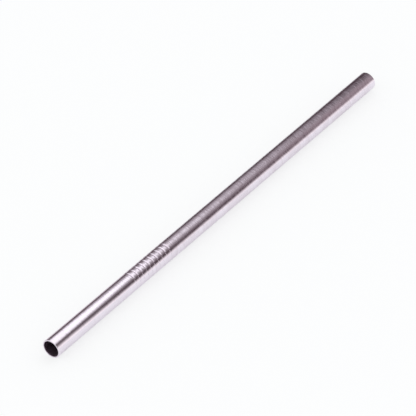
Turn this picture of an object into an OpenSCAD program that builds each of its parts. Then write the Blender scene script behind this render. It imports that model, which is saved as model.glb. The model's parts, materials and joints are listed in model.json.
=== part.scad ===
// Reusable metal drinking straw: one straight, thin-walled round tube, cut square at both ends,
// with smoothed rims and a group of shallow rings rolled into its wall near one end.
// It lies on its side along X on the plane Z = 0, centred on the origin, ringed end towards -X.

/* [Tube] */
// Length of the straw from rim to rim
tube_length = 215; // [150:1:300]
// Outside diameter of the tube
outer_d = 8; // [5:0.1:14]
// Thickness of the tube's wall
wall = 0.6; // [0.3:0.05:1.2]
// Radius that smooths both edges of each rim
rim_round = 0.2; // [0.05:0.05:0.5]

/* [Rings] */
// Number of rings rolled into the wall
ring_count = 10; // [1:1:16]
// Distance from the near rim to the middle of the first ring
first_ring = 48.5; // [15:0.5:80]
// Distance from the middle of one ring to the middle of the next
ring_pitch = 2.5; // [1.8:0.1:4]
// Width of a ring's groove, from shoulder to shoulder
ring_width = 1; // [0.8:0.1:1.7]
// Depth of a ring's groove below the tube's surface
ring_depth = 0.2; // [0.05:0.05:0.4]

/* [Hidden] */

outer_r = outer_d / 2;
bore_r = outer_r - wall;

// A rim stays flat between its two smoothed edges, so their radius is limited by the wall
rim_flat_share = 0.1;
edge_r = min(rim_round, wall * (1 - rim_flat_share) / 2);

// A groove's side runs from a round shoulder into a round floor of the same bend radius,
// and the two arcs meet half way down at the steepest point
steepest = 2 * atan(2 * ring_depth / ring_width);
bend_r = ring_width / (4 * sin(steepest));
half_depth_r = outer_r - ring_depth / 2;
floor_centre_r = outer_r - ring_depth + bend_r;
shoulder_centre_r = outer_r - bend_r;

// Rolling pushes the wall in without thinning it, so the bead inside bends round the floor's centre
bead_r = bend_r + wall;

ring_places = [for (i = [0 : ring_count - 1]) first_ring + i * ring_pitch];

arc_fn = 96;
revolve_fn = 160;

// A disc in the section, at a radius from the tube's axis and a place along it
module disc(from_axis, place, r) {
    translate([from_axis, place]) circle(r = r, $fn = arc_fn);
}

// Section of the plain wall, with the four rim edges rounded
module plain_wall() {
    translate([bore_r, edge_r]) square([wall, tube_length - 2 * edge_r]);
    translate([bore_r + edge_r, 0]) square([wall - 2 * edge_r, tube_length]);
    for (from_axis = [bore_r + edge_r, outer_r - edge_r])
        for (place = [edge_r, tube_length - edge_r])
            disc(from_axis, place, edge_r);
}

// Section of the beads inside the bore, cut off at the tube's outside
module beads() {
    intersection() {
        for (place = ring_places) disc(floor_centre_r, place, bead_r);
        square([outer_r, tube_length]);
    }
}

// Section of one groove: the round floor, and above half depth the gap between the shoulders
module groove(place) {
    disc(floor_centre_r, place, bend_r);
    difference() {
        translate([half_depth_r, place - ring_width / 2]) square([ring_depth, ring_width]);
        for (side = [-1, 1]) disc(shoulder_centre_r, place + side * ring_width / 2, bend_r);
    }
}

// Section of the whole wall: plain tube and beads, less the grooves
module wall_section() {
    difference() {
        union() {
            plain_wall();
            beads();
        }
        for (place = ring_places) groove(place);
    }
}

module straw() {
    color([0.84, 0.77, 0.85])
        translate([-tube_length / 2, 0, outer_r])
            rotate([90, 0, 90])
                rotate_extrude($fn = revolve_fn) wall_section();
}

straw();
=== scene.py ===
"""Looks of the metal drinking straw: its steel, the camera and a plain studio.

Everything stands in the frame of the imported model.
"""

import json
import math

import bpy
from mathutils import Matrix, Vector

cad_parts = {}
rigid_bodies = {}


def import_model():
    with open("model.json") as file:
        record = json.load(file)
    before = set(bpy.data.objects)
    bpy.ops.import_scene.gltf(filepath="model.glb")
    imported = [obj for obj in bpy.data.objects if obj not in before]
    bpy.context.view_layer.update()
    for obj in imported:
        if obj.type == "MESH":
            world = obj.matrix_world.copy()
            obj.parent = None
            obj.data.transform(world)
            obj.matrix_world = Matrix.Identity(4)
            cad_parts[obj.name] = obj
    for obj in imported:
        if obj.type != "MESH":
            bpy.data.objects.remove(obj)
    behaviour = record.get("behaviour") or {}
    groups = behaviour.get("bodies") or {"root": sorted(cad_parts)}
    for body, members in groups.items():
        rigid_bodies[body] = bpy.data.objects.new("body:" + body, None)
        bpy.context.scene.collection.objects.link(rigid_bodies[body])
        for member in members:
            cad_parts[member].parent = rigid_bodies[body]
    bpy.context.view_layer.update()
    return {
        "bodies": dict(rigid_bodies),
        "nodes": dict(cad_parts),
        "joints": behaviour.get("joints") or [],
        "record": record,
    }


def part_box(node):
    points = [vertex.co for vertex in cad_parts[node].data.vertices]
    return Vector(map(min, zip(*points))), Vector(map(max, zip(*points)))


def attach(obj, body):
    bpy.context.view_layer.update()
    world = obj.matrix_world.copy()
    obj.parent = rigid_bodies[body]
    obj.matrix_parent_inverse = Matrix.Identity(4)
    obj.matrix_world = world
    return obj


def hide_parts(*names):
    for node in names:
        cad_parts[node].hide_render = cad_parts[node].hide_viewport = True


MM = 0.001

# Rings rolled into the wall, as the solid has them
RING_COUNT = 10
FIRST_RING = 48.5 * MM
RING_PITCH = 2.5 * MM
RING_WIDTH = 1.0 * MM
RING_DEPTH = 0.2 * MM
RIM_ROUND = 0.2 * MM

# Camera, from the straw's two ends and widths in the photograph; the picture is square
CAMERA_AT = Vector((-0.6756, -0.4929, 0.6701))
CAMERA_AZIMUTH = math.radians(-53.577)
CAMERA_ELEVATION = math.radians(38.573)
FOCAL_PIXELS = 2651.5
PICTURE_PIXELS = 416
SENSOR_MM = 36
CLIP_NEAR = 0.01
CLIP_FAR = 50


def look_back(azimuth, elevation):
    """Direction from the subject to a camera at that azimuth and elevation."""
    level = math.cos(elevation)
    return Vector((math.sin(azimuth) * level, -math.cos(azimuth) * level, math.sin(elevation)))


def make_camera():
    data = bpy.data.cameras.new("camera")
    data.sensor_width = SENSOR_MM
    data.lens = SENSOR_MM * FOCAL_PIXELS / PICTURE_PIXELS
    data.clip_start = CLIP_NEAR
    data.clip_end = CLIP_FAR
    camera = bpy.data.objects.new("camera", data)
    camera.location = CAMERA_AT
    back = look_back(CAMERA_AZIMUTH, CAMERA_ELEVATION)
    camera.rotation_euler = (-back).to_track_quat("-Z", "Y").to_euler()
    bpy.context.scene.collection.objects.link(camera)
    bpy.context.scene.camera = camera


# The straw's mesh: an outline of its wall, turned about its axis

TURN_STEPS = 160
RIM_STEPS = 6
SHOULDER_STEPS = 5
FLOOR_STEPS = 8
BEAD_STEPS = 8

# A bead meets the bore in a crease, and the plain bore begins this far beside it
CREASE_GAP = 0.01 * MM


def arc(centre, radius, start, end, steps, hollow=False):
    """Outline points of an arc whose surface normal turns from start to end.

    Each point is its place along the straw, its distance from the axis and its normal's angle.
    A hollow arc's surface faces its centre.
    """
    points = []
    for i in range(steps + 1):
        angle = start + (end - start) * i / steps
        reach = -radius if hollow else radius
        along = centre[0] + reach * math.cos(angle)
        from_axis = centre[1] + reach * math.sin(angle)
        points.append((along, from_axis, angle))
    return points


class Tube:
    """Sizes of the straw's wall, taken from the frame."""

    def __init__(self, frame):
        low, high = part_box("straw")
        sizes = {m["name"]: m["dims"]["r_mm"] * MM for m in frame["record"]["mounts"]}
        self.start = low.x
        self.length = high.x - low.x
        self.outer = sizes["near_tube"]
        self.bore = sizes["near_bore"]
        self.wall = self.outer - self.bore
        self.steepest = 2 * math.atan(2 * RING_DEPTH / RING_WIDTH)
        self.bend = RING_WIDTH / (4 * math.sin(self.steepest))
        self.floor_centre = self.outer - RING_DEPTH + self.bend
        self.rings = [FIRST_RING + i * RING_PITCH for i in range(RING_COUNT)]


def groove_outline(tube, place):
    """One rolled groove, from its near shoulder through its floor to its far shoulder."""
    up = math.pi / 2
    to_far = up - tube.steepest
    to_near = up + tube.steepest
    shoulder = tube.outer - tube.bend
    half = RING_WIDTH / 2
    near = arc((place - half, shoulder), tube.bend, up, to_far, SHOULDER_STEPS)
    middle = (place, tube.floor_centre)
    floor = arc(middle, tube.bend, to_far, to_near, FLOOR_STEPS, hollow=True)
    far = arc((place + half, shoulder), tube.bend, to_near, up, SHOULDER_STEPS)
    return near + floor[1:-1] + far


def bead_outline(tube, place):
    """The bead that a groove raises inside the bore, from its far foot to its near foot."""
    radius = tube.bend + tube.wall
    rise = tube.floor_centre - tube.bore
    spread = math.acos(rise / radius)
    inward = -math.pi / 2
    foot = radius * math.sin(spread)
    bead = arc((place, tube.floor_centre), radius, inward + spread, inward - spread, BEAD_STEPS)
    far_foot = (place + foot + CREASE_GAP, tube.bore, inward)
    near_foot = (place - foot - CREASE_GAP, tube.bore, inward)
    return [far_foot] + bead + [near_foot]


def rim_outline(tube, along, facing):
    """A rim's rounded inner and outer edge. facing is -1 at the near rim and 1 at the far rim."""
    flat = 0 if facing > 0 else math.pi
    up = math.pi / 2
    centre = along - facing * RIM_ROUND
    outer = arc((centre, tube.outer - RIM_ROUND), RIM_ROUND, up, flat, RIM_STEPS)
    inner = arc((centre, tube.bore + RIM_ROUND), RIM_ROUND, flat, 2 * flat - up, RIM_STEPS)
    return outer + inner


def wall_outline(tube):
    """The closed outline of the wall: outside to the far rim, and back through the bore."""
    outside = [p for place in tube.rings for p in groove_outline(tube, place)]
    inside = [p for place in reversed(tube.rings) for p in bead_outline(tube, place)]
    far_rim = rim_outline(tube, tube.length, 1)
    near_rim = list(reversed(rim_outline(tube, 0, -1)))
    return outside + far_rim + inside + near_rim


def turned_mesh(name, tube, outline):
    """The outline turned about the straw's axis, with the normals that its arcs have."""
    vertices, normals, faces = [], [], []
    for along, from_axis, angle in outline:
        for step in range(TURN_STEPS):
            turn = 2 * math.pi * step / TURN_STEPS
            side, up = math.sin(turn), math.cos(turn)
            vertices.append((tube.start + along, side * from_axis, tube.outer + up * from_axis))
            normals.append((math.cos(angle), side * math.sin(angle), up * math.sin(angle)))
    for row in range(len(outline)):
        here, there = row * TURN_STEPS, (row + 1) % len(outline) * TURN_STEPS
        for step in range(TURN_STEPS):
            after = (step + 1) % TURN_STEPS
            faces.append((here + step, there + step, there + after, here + after))
    mesh = bpy.data.meshes.new(name)
    mesh.from_pydata(vertices, [], faces)
    mesh.polygons.foreach_set("use_smooth", [True] * len(faces))
    mesh.normals_split_custom_set_from_vertices(normals)
    return mesh


def link_object(name, mesh, material):
    mesh.materials.append(material)
    piece = bpy.data.objects.new(name, mesh)
    bpy.context.scene.collection.objects.link(piece)
    return piece


# Materials

# Sockets of the Mix node that take and give colours
MIX_FIRST = 6
MIX_SECOND = 7
MIX_RESULT = 2


def new_material(name):
    material = bpy.data.materials.new(name)
    material.use_nodes = True
    tree = material.node_tree
    tree.nodes.clear()
    return material, tree


def feed(tree, socket, term):
    """Gives a socket another node's output, or a plain value."""
    if isinstance(term, bpy.types.NodeSocket):
        tree.links.new(term, socket)
    else:
        socket.default_value = term


def show(tree, surface):
    """Makes a shader's output the material's surface."""
    output = tree.nodes.new("ShaderNodeOutputMaterial")
    tree.links.new(surface, output.inputs["Surface"])


def show_glow(tree, colour):
    """Makes the surface glow in the colour that another node gives."""
    emission = tree.nodes.new("ShaderNodeEmission")
    tree.links.new(colour, emission.inputs["Color"])
    show(tree, emission.outputs[0])


def maths(tree, operation, *terms):
    """A Math node's result. Each term is a number or another node's output."""
    node = tree.nodes.new("ShaderNodeMath")
    node.operation = operation
    for socket, term in zip(node.inputs, terms):
        feed(tree, socket, term)
    return node.outputs[0]


def ramp(tree, value, start, end, low=0, high=1, smooth=True):
    """A value that goes from low at start to high at end, and stays there on both sides."""
    node = tree.nodes.new("ShaderNodeMapRange")
    node.interpolation_type = "SMOOTHSTEP" if smooth else "LINEAR"
    node.inputs["From Min"].default_value = start
    node.inputs["From Max"].default_value = end
    node.inputs["To Min"].default_value = low
    node.inputs["To Max"].default_value = high
    tree.links.new(value, node.inputs["Value"])
    return node.outputs["Result"]


def sum_of_squares(tree, first, second):
    first = maths(tree, "MULTIPLY", first, first)
    return maths(tree, "ADD", first, maths(tree, "MULTIPLY", second, second))


def weighed(tree, first, second, weights):
    """Two values added, each times its weight."""
    first = maths(tree, "MULTIPLY", first, weights[0])
    return maths(tree, "ADD", first, maths(tree, "MULTIPLY", second, weights[1]))


def mixed_colour(tree, share, first, second):
    """The first colour where the share is 0, and the second where it is 1."""
    mix = tree.nodes.new("ShaderNodeMix")
    mix.data_type = "RGBA"
    tree.links.new(share, mix.inputs[0])
    feed(tree, mix.inputs[MIX_FIRST], first)
    feed(tree, mix.inputs[MIX_SECOND], second)
    return mix.outputs[MIX_RESULT]


def object_axes(tree):
    """The object's own X, Y and Z at the point that is shaded."""
    place = tree.nodes.new("ShaderNodeTexCoord")
    split = tree.nodes.new("ShaderNodeSeparateXYZ")
    tree.links.new(place.outputs["Object"], split.inputs[0])
    return split.outputs


# Brushed steel. The brushing runs round the tube: it is fine across and long around,
# plain to see beyond the rings and faint on the end before them.

STEEL = (0.88, 0.81, 0.89, 1)
STEEL_SHADE = (0.8, 0.72, 0.79, 1)
# Painted shade: the bore's steel is darkened and tinted for the shade inside the tube
BORE_PAINTED_SHADE = (0.32, 0.24, 0.31, 1)
SMOOTH = 0.12
BRUSHED = 0.29
BORE_ROUGHNESS = 0.45
BRUSH_DEPTH = 0.016 * MM
FAINT = 0.45

# Narrow streaks and wide clouds make the brushing. Along and around are how often they change
# in a metre. Their noise counts as nothing up to low, and in full from high.
STREAKS = {"along": 1100, "around": 220, "detail": 3, "low": 0.3, "high": 0.7}
CLOUDS = {"along": 260, "around": 90, "detail": 2, "low": 0.38, "high": 0.62}

# What streaks and clouds weigh in the steel's shade and in its height
SHADE_WEIGHTS = (0.4, 0.6)
HEIGHT_WEIGHTS = (0.6, 0.9)

# How far the roughness goes from SMOOTH to BRUSHED, between streaks and on them
ROUGH_LOW = 0.35
ROUGH_HIGH = 0.65

# Where the bore's painted shade and rougher steel start in a rim and where they are full, as
# shares of the wall from the bore
BORE_LOOK_STARTS = 0.35
BORE_LOOK_FULL = 0.1


def brush_noise(tree, kind):
    """Noise drawn out round the tube, from 0 to 1."""
    place = tree.nodes.new("ShaderNodeTexCoord")
    stretch = tree.nodes.new("ShaderNodeMapping")
    stretch.inputs["Scale"].default_value = (kind["along"], kind["around"], kind["around"])
    noise = tree.nodes.new("ShaderNodeTexNoise")
    noise.inputs["Scale"].default_value = 1
    noise.inputs["Detail"].default_value = kind["detail"]
    tree.links.new(place.outputs["Object"], stretch.inputs[0])
    tree.links.new(stretch.outputs[0], noise.inputs["Vector"])
    return ramp(tree, noise.outputs[0], kind["low"], kind["high"])


def bore_share(tree, tube, y, z):
    """1 in the bore and 0 on the outside. It places the bore's painted shade and its roughness.
    """
    up = maths(tree, "SUBTRACT", z, tube.outer)
    from_axis = maths(tree, "SQRT", sum_of_squares(tree, y, up))
    starts = tube.bore + BORE_LOOK_STARTS * tube.wall
    full = tube.bore + BORE_LOOK_FULL * tube.wall
    return ramp(tree, from_axis, starts, full)


def steel_material(tube):
    material, tree = new_material("brushed_steel")
    x, y, z = object_axes(tree)
    last_ring = tube.start + tube.rings[-1]
    zone = ramp(tree, x, last_ring - RING_PITCH, last_ring + RING_PITCH, FAINT, 1)
    inside = bore_share(tree, tube, y, z)
    streaks = brush_noise(tree, STREAKS)
    clouds = brush_noise(tree, CLOUDS)

    shade = maths(tree, "MULTIPLY", weighed(tree, streaks, clouds, SHADE_WEIGHTS), zone)
    colour = mixed_colour(tree, shade, STEEL, STEEL_SHADE)
    # Painted shade in the bore: the steel colour turns dark there, standing in for the shade
    # inside the tube
    colour = mixed_colour(tree, inside, colour, BORE_PAINTED_SHADE)

    rough = maths(tree, "MULTIPLY", ramp(tree, streaks, 0, 1, ROUGH_LOW, ROUGH_HIGH), zone)
    outside = ramp(tree, rough, 0, 1, SMOOTH, BRUSHED, smooth=False)
    added_inside = maths(tree, "MULTIPLY", inside, BORE_ROUGHNESS - SMOOTH)
    roughness = maths(tree, "ADD", outside, added_inside)

    bump = tree.nodes.new("ShaderNodeBump")
    bump.inputs["Distance"].default_value = BRUSH_DEPTH
    bump.inputs["Strength"].default_value = 1
    height = weighed(tree, streaks, clouds, HEIGHT_WEIGHTS)
    tree.links.new(maths(tree, "MULTIPLY", height, zone), bump.inputs["Height"])

    shader = tree.nodes.new("ShaderNodeBsdfPrincipled")
    shader.inputs["Metallic"].default_value = 1
    tree.links.new(colour, shader.inputs["Base Color"])
    tree.links.new(roughness, shader.inputs["Roughness"])
    tree.links.new(bump.outputs[0], shader.inputs["Normal"])
    show(tree, shader.outputs[0])
    return material


def make_straw(frame):
    tube = Tube(frame)
    mesh = turned_mesh("steel_straw", tube, wall_outline(tube))
    straw = link_object("steel_straw", mesh, steel_material(tube))
    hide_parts("straw")
    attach(straw, "root")


# Studio: a pale floor under an even sky, and a tent over the straw that only its reflections show

FLOOR_SIZE = 8
FLOOR_COLOUR = (0.93, 0.955, 0.97, 1)
SKY = (1, 1, 1, 1)

# Share of plain white in the floor as the camera sees it, and as the steel reflects it.
# The rest is lit, and keeps the shadow.
FLOOR_WHITE_SEEN = 0.7
FLOOR_WHITE_REFLECTED = 0.2


def flat_mesh(name, corners):
    """One flat face with four corners."""
    mesh = bpy.data.meshes.new(name)
    mesh.from_pydata(corners, [], [(0, 1, 2, 3)])
    return mesh


def white_share(tree):
    """The floor's share of plain white, by the kind of ray that meets it."""
    path = tree.nodes.new("ShaderNodeLightPath")
    seen = maths(tree, "MULTIPLY", path.outputs["Is Camera Ray"], FLOOR_WHITE_SEEN)
    glossy, clear = path.outputs["Is Glossy Ray"], path.outputs["Is Transmission Ray"]
    sent_on = maths(tree, "MAXIMUM", glossy, clear)
    reflected = maths(tree, "MULTIPLY", sent_on, FLOOR_WHITE_REFLECTED)
    return maths(tree, "MAXIMUM", seen, reflected)


def floor_material():
    material, tree = new_material("studio_floor")
    diffuse = tree.nodes.new("ShaderNodeBsdfDiffuse")
    diffuse.inputs["Color"].default_value = FLOOR_COLOUR
    white = tree.nodes.new("ShaderNodeEmission")
    mix = tree.nodes.new("ShaderNodeMixShader")
    tree.links.new(white_share(tree), mix.inputs[0])
    tree.links.new(diffuse.outputs[0], mix.inputs[1])
    tree.links.new(white.outputs[0], mix.inputs[2])
    show(tree, mix.outputs[0])
    return material


def make_floor():
    half = FLOOR_SIZE / 2
    corners = [(-half, -half, 0), (half, -half, 0), (half, half, 0), (-half, half, 0)]
    mesh = flat_mesh("studio_floor", corners)
    link_object("studio_floor", mesh, floor_material())


def make_world():
    """A white sky, the same for every kind of ray."""
    world = bpy.data.worlds.new("studio")
    bpy.context.scene.world = world
    world.use_nodes = True
    tree = world.node_tree
    tree.nodes.clear()
    sky = tree.nodes.new("ShaderNodeBackground")
    sky.inputs["Color"].default_value = SKY
    output = tree.nodes.new("ShaderNodeOutputWorld")
    tree.links.new(sky.outputs[0], output.inputs["Surface"])


# The tent is a round tunnel along the straw. Angles on it count up from the front horizon,
# so 90 is overhead and 180 the back horizon. X is along the straw, in metres.

TENT_RADIUS = 0.6
TENT_NEAR = -1.5
TENT_FAR = 2.5
TENT_STEPS = 48

# Dark cloth all over, and white cloth at the front, which starts at FRONT_TOP degrees
# and would be full at FRONT_FULL
DARK_CLOTH = (0.056, 0.034, 0.042)
FRONT_WHITE = (1.08, 1.06, 1.05)
FRONT_TOP = 31
FRONT_FULL = -2

# Strip lamps and pale cloths. Each is even from x_from to x_to at its middle angle.
# From there it fades with the distance, counted in reaches: from soft[0] of them to soft[1].
# The first number of a reach is in metres along the tent, the second in degrees round it.
# The tip lamp carries the key lamp's middle further on. From the photo's side the ring lamp
# shows only in the rings' sides.
KEY_LAMP = {
    "colour": (0.8, 0.84, 0.84), "x_from": 0.09, "x_to": 0.23,
    "middle": 101, "reach": (0.158, 44), "soft": (0.8, 1.15),
}
TIP_LAMP = {
    "colour": (0.45, 0.48, 0.49), "x_from": 0.39, "x_to": 0.405,
    "middle": 100, "reach": (0.065, 28), "soft": (0.1, 1.1),
}
RING_LAMP = {
    "colour": (0.62, 0.62, 0.64), "x_from": TENT_NEAR, "x_to": -0.3,
    "middle": 112, "reach": (0.22, 58), "soft": (0.58, 1.35),
}
FILL_LAMP = {
    "colour": (0.395, 0.38, 0.392), "x_from": TENT_NEAR, "x_to": 0.505,
    "middle": 105, "reach": (0.19, 74), "soft": (0.2, 1),
}
FAR_CLOTH = {
    "colour": (0.315, 0.27, 0.28), "x_from": 0.665, "x_to": TENT_FAR,
    "middle": 46, "reach": (0.16, 60), "soft": (0.1, 1.1),
}
NEAR_CLOTH = {
    "colour": (0.49, 0.48, 0.48), "x_from": 0.29, "x_to": 0.31,
    "middle": 22, "reach": (0.07, 24), "soft": (0.1, 1.1),
}


def glow(tree, share, colour):
    """One lamp or cloth of the tent: its colour times its share at that place."""
    scale = tree.nodes.new("ShaderNodeVectorMath")
    scale.operation = "SCALE"
    scale.inputs[0].default_value = colour
    tree.links.new(share, scale.inputs["Scale"])
    return scale.outputs[0]


def added(tree, first, second):
    node = tree.nodes.new("ShaderNodeVectorMath")
    feed(tree, node.inputs[0], first)
    feed(tree, node.inputs[1], second)
    return node.outputs[0]


def lamp_share(tree, x, angle, lamp):
    """How bright a lamp or cloth is at a place on the tent, from 0 to 1."""
    past = maths(tree, "SUBTRACT", x, lamp["x_to"])
    before = maths(tree, "SUBTRACT", lamp["x_from"], x)
    off_end = maths(tree, "MAXIMUM", maths(tree, "MAXIMUM", past, before), 0)
    off_middle = maths(tree, "SUBTRACT", angle, lamp["middle"])
    along = maths(tree, "DIVIDE", off_end, lamp["reach"][0])
    around = maths(tree, "DIVIDE", off_middle, lamp["reach"][1])
    distance = maths(tree, "SQRT", sum_of_squares(tree, along, around))
    return ramp(tree, distance, lamp["soft"][1], lamp["soft"][0])


def tent_material():
    material, tree = new_material("tent")
    x, y, z = object_axes(tree)
    turn = maths(tree, "ARCTAN2", z, maths(tree, "MULTIPLY", y, -1))
    angle = maths(tree, "MULTIPLY", turn, math.degrees(1))
    front = glow(tree, ramp(tree, angle, FRONT_TOP, FRONT_FULL), FRONT_WHITE)
    light = added(tree, front, DARK_CLOTH)
    for lamp in (KEY_LAMP, TIP_LAMP, RING_LAMP, FILL_LAMP, FAR_CLOTH, NEAR_CLOTH):
        light = added(tree, light, glow(tree, lamp_share(tree, x, angle, lamp), lamp["colour"]))
    show_glow(tree, light)
    return material


def tent_mesh():
    """Half a tube along the straw, from the front horizon over to the back horizon."""
    vertices, faces = [], []
    for i in range(TENT_STEPS + 1):
        angle = math.pi * i / TENT_STEPS
        across, up = -TENT_RADIUS * math.cos(angle), TENT_RADIUS * math.sin(angle)
        vertices += [(TENT_NEAR, across, up), (TENT_FAR, across, up)]
    for i in range(TENT_STEPS):
        faces.append((2 * i, 2 * i + 1, 2 * i + 3, 2 * i + 2))
    mesh = bpy.data.meshes.new("tent")
    mesh.from_pydata(vertices, [], faces)
    return mesh


def only_reflected(panel):
    panel.visible_camera = False
    panel.visible_shadow = False
    panel.visible_diffuse = False


def make_tent():
    only_reflected(link_object("tent", tent_mesh(), tent_material()))


# A low card close behind the straw darkens its upper edge. Along X it turns from pale to dark.

CARD_BEHIND = 25 * MM
CARD_HEIGHT = 8 * MM
CARD_NEAR = -0.16
CARD_FAR = 0.22
CARD_PALE = (0.61, 0.54, 0.57, 1)
CARD_DARK = (0.21, 0.18, 0.19, 1)
CARD_PALE_UP_TO = -0.06
CARD_DARK_FROM = 0


def card_material():
    material, tree = new_material("back_card")
    dark = ramp(tree, object_axes(tree)[0], CARD_PALE_UP_TO, CARD_DARK_FROM)
    show_glow(tree, mixed_colour(tree, dark, CARD_PALE, CARD_DARK))
    return material


def make_card():
    bottom = [(CARD_NEAR, CARD_BEHIND, 0), (CARD_FAR, CARD_BEHIND, 0)]
    top = [(CARD_FAR, CARD_BEHIND, CARD_HEIGHT), (CARD_NEAR, CARD_BEHIND, CARD_HEIGHT)]
    mesh = flat_mesh("back_card", bottom + top)
    only_reflected(link_object("back_card", mesh, card_material()))


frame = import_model()
bpy.context.scene.view_settings.view_transform = "Standard"
make_camera()
make_straw(frame)
make_floor()
make_world()
make_tent()
make_card()
